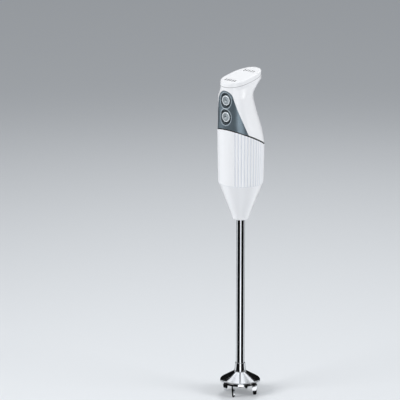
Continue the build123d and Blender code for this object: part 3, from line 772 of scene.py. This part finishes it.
@dataclass
class Shaft:
    """Shaft tube, guard and the drive shaft in them."""

    tube: Sequence[str] = ("shaft_tube",)
    guard: Sequence[str] = ("blade_guard",)
    steel: Sequence[str] = ("drive_shaft", "carrier_pin", "tube_nut")
    bushes: Sequence[str] = ("tube_upper_bush", "tube_lower_bush")
    seal: Sequence[str] = ("shaft_seal",)

    def dress(self) -> None:
        """Finish the shaft's nodes."""
        clothe(self.tube, CHROME)
        clothe(self.guard, BELL)
        clothe(self.steel, STEEL)
        clothe(self.bushes, BRONZE)
        clothe(self.seal, RUBBER)


def toward(azimuth: float, elevation: float = 0.0) -> Vector:
    """The direction from the object to a place round it.

    Args:
        azimuth: degrees round from the front.
        elevation: degrees above the horizon.

    Returns:
        The unit vector.
    """
    turn = math.radians(azimuth)
    rise = math.radians(elevation)
    return Vector((math.sin(turn) * math.cos(rise), -math.cos(turn) * math.cos(rise), math.sin(rise)))


@dataclass(frozen=True)
class Card:
    """A bent card round the object that reflections alone show.

    The rows give metres from the shaft and height. The card reaches as many degrees to each side of its
    azimuth as its spread says.
    """

    name: str
    azimuth: float
    spread: float
    rows: tuple[tuple[float, float], ...]
    tone: float = 0.006
    glow: float = 0.0
    glow_tone: Colour = (0.95, 0.97, 1.0)
    roughness: float = 0.9
    grain_scale: float = 3.0
    grain_octaves: float = 3.0
    grain: float = 1.2

    def material(self) -> bpy.types.Material:
        """Build the card's matt paint.

        Returns:
            The material.
        """
        graph = Graph(self.name)
        dark = (self.tone, self.tone, self.tone)
        grain = graph.noise(self.grain_scale, self.grain_octaves)
        return graph.dress(
            Base_Color=graph.mix(grain, dark, shaded(dark, self.grain)),
            Roughness=self.roughness,
            Specular_IOR_Level=0.0,
            Emission_Color=self.glow_tone,
            Emission_Strength=self.glow,
        )

    def build(self) -> None:
        """Fold the card and set it up."""
        out = toward(self.azimuth)
        side = toward(self.azimuth + RIGHT_ANGLE)
        folds = len(self.rows) - 1
        half = 0.5
        mesh = bmesh.new()
        bmesh.ops.create_grid(mesh, x_segments=1, y_segments=folds, size=half)
        for vert in mesh.verts:
            reach, height = self.rows[round((vert.co.y + half) * folds)]
            across = math.copysign(reach * math.tan(math.radians(self.spread)), vert.co.x)
            vert.co = out * reach + side * across + Vector((0.0, 0.0, height))
        card = add_object(self.name, mesh, self.material())
        card.visible_camera = False
        card.visible_diffuse = False
        card.visible_shadow = False


@dataclass(frozen=True)
class Lamp:
    """A soft round lamp that faces the object's middle, with its reach in metres and power in watts.

    The spread of its beam, in degrees, is small enough to keep the floor near the lamp from burning out.
    """

    name: str
    azimuth: float
    elevation: float
    reach: float
    size: float
    power: float
    spread: float = 110.0
    aim: float = 0.22

    def build(self) -> None:
        """Hang the lamp."""
        data = bpy.data.lights.new(self.name, "AREA")
        data.shape = "DISK"
        data.size = self.size
        data.energy = self.power
        data.spread = math.radians(self.spread)
        lamp = bpy.data.objects.new(self.name, data)
        direction = toward(self.azimuth, self.elevation)
        lamp.location = Vector((0.0, 0.0, self.aim)) + direction * self.reach
        lamp.rotation_euler = direction.to_track_quat("Z", "Y").to_euler()
        bpy.context.scene.collection.objects.link(lamp)


FLOOR_AND_WALL = ((0.01, 0.0005), (0.45, 0.0005), (0.45, 0.6))
BRIGHT_FLOOR_AND_WALL = ((0.01, 0.0006), (0.5, 0.0006), (0.5, 0.6))
CEILING = ((0.02, 0.9), (0.85, 0.9))


@dataclass
class Studio:
    """Floor, light, cards for the chrome, and the camera.

    The shaft's axis meets the floor at the column and the row, in a square frame of that many pixels.
    """

    azimuth: float = 43.0
    elevation: float = 14.5
    distance: float = 3.4
    pixels_per_metre: float = 848.0
    axis_column: float = 240.75
    foot_row: float = 396.0
    frame_pixels: float = 400.0
    sensor: float = 36.0
    clip_end: float = 200.0
    floor_tone: Colour = (0.74, 0.76, 0.78)
    floor_shade: float = 0.97
    floor_cloud: float = 0.6
    floor_roughness: float = 0.85
    floor_reach: float = 40.0
    sky_tone: Colour = (0.93, 0.96, 1.0)
    sky_strength: float = 0.42
    lamps: Sequence[Lamp] = (
        Lamp("key_lamp", azimuth=-18.0, elevation=28.0, reach=1.6, size=0.9, power=6.2),
        Lamp("fill_lamp", azimuth=110.0, elevation=22.0, reach=1.8, size=1.0, power=6.6),
        Lamp("rear_lamp", azimuth=215.0, elevation=50.0, reach=1.8, size=0.8, power=3.6),
    )
    cards: Sequence[Card] = (
        Card("left_card", -9.0, 41.0, FLOOR_AND_WALL),
        Card("right_card", 98.0, 37.0, FLOOR_AND_WALL),
        Card("rear_left_card", -114.0, 20.0, FLOOR_AND_WALL),
        Card("rear_right_card", 200.0, 20.0, FLOOR_AND_WALL),
        Card("front_card", 46.0, 13.0, BRIGHT_FLOOR_AND_WALL, tone=0.8, glow=0.55),
        Card("ceiling_card", 223.0, 48.0, CEILING, tone=0.8, glow=0.62),
    )

    def floor(self) -> None:
        """Lay a wide plain floor."""
        graph = Graph("pale_floor")
        cloud = graph.noise(self.floor_cloud)
        material = graph.dress(
            Base_Color=graph.mix(cloud, shaded(self.floor_tone, self.floor_shade), self.floor_tone),
            Roughness=self.floor_roughness,
            Specular_IOR_Level=0.0,
        )
        mesh = bmesh.new()
        bmesh.ops.create_grid(mesh, x_segments=2, y_segments=2, size=self.floor_reach)
        add_object("studio_floor", mesh, material)

    def sky(self) -> None:
        """Even light from all round."""
        world = bpy.data.worlds.new("studio_sky")
        bpy.context.scene.world = world
        world.use_nodes = True
        backdrop = world.node_tree.nodes["Background"]
        backdrop.inputs["Color"].default_value = (*self.sky_tone, 1.0)
        backdrop.inputs["Strength"].default_value = self.sky_strength

    def camera(self) -> None:
        """Set the camera where the photograph was taken from."""
        span = self.frame_pixels / self.pixels_per_metre
        column = (self.axis_column - self.frame_pixels / 2) / self.pixels_per_metre
        row = (self.foot_row - self.frame_pixels / 2) / self.pixels_per_metre
        height = row / math.cos(math.radians(self.elevation))
        target = Vector((0.0, 0.0, height)) - toward(self.azimuth + RIGHT_ANGLE) * column
        data = bpy.data.cameras.new("photo_camera")
        data.sensor_width = self.sensor
        data.lens = self.sensor * self.distance / span
        data.clip_end = self.clip_end
        camera = bpy.data.objects.new("photo_camera", data)
        back = toward(self.azimuth, self.elevation)
        camera.location = target + back * self.distance
        camera.rotation_euler = back.to_track_quat("Z", "Y").to_euler()
        bpy.context.scene.collection.objects.link(camera)
        bpy.context.scene.camera = camera

    def build(self) -> None:
        """Set up the whole studio."""
        bpy.context.scene.view_settings.view_transform = "Standard"
        self.sky()
        self.floor()
        for fitting in (*self.lamps, *self.cards):
            fitting.build()
        self.camera()


def main() -> None:
    """Dress each sub-assembly, then light and frame it."""
    logging.basicConfig(level=logging.INFO, format="%(message)s")
    for assembly in (Handle(), MotorUnit(), Shaft()):
        assembly.dress()
        LOG.info("dressed %s", type(assembly).__name__)
    Studio().build()


if __name__ == "__main__":
    main()
